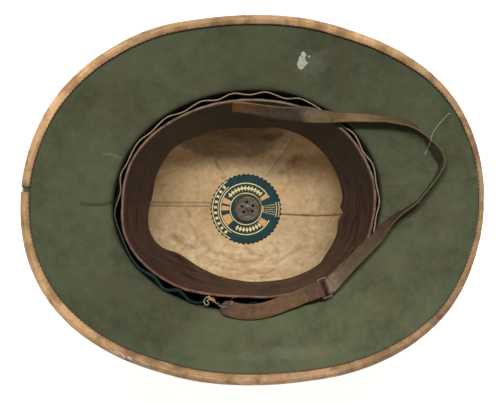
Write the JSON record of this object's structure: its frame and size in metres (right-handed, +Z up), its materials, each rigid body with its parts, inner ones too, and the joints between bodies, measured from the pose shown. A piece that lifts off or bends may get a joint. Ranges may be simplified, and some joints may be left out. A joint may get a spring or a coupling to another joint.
{
  "type": "pith helmet",
  "caption": "Wide-brimmed pith helmet lying upside down: green brim lining, leather binding, sweatband, round label, vent disc and buckled chin strap.",
  "frame": {"origin": "middle of the flat top of the ventilator cap, which the inverted helmet lies on", "axes": "+Z up, out of the hollow of the head; +X along the brim's length towards its back; +Y across the brim"},
  "size_m": [0.3534, 0.2849, 0.1699],
  "materials": {
    "khaki_cloth": "plain khaki cotton over the moulded shell",
    "green_cloth": "faded olive green cotton",
    "cream_lining": "aged cream lining with stains",
    "binding_leather": "worn tan leather",
    "sweatband_leather": "dark brown leather, polished by wear",
    "spacer_cloth": "cloth-faced strip with a pale raw edge",
    "label_paper": "dark teal label with gold print, worn",
    "pewter": "dull tarnished white metal",
    "strap_leather": "worn brown strap leather",
    "buckle_metal": "rusted wire",
    "chape_leather": "red-brown leather, rubbed",
    "hook_leather": "light tan leather"
  },
  "bodies": {
    "root": {"shell": "khaki_cloth", "brim_lining": "green_cloth", "crown_lining": "cream_lining", "edge_binding": "binding_leather", "sweatband": "sweatband_leather", "spacer_strip": "spacer_cloth", "label": "label_paper", "vent_disc": "pewter", "vent_cap": "khaki_cloth", "chin_strap_long": "strap_leather", "chin_strap_short": "strap_leather", "buckle_frame": "buckle_metal", "buckle_chape": "chape_leather", "strap_hook": "hook_leather"}
  },
  "joints": []
}
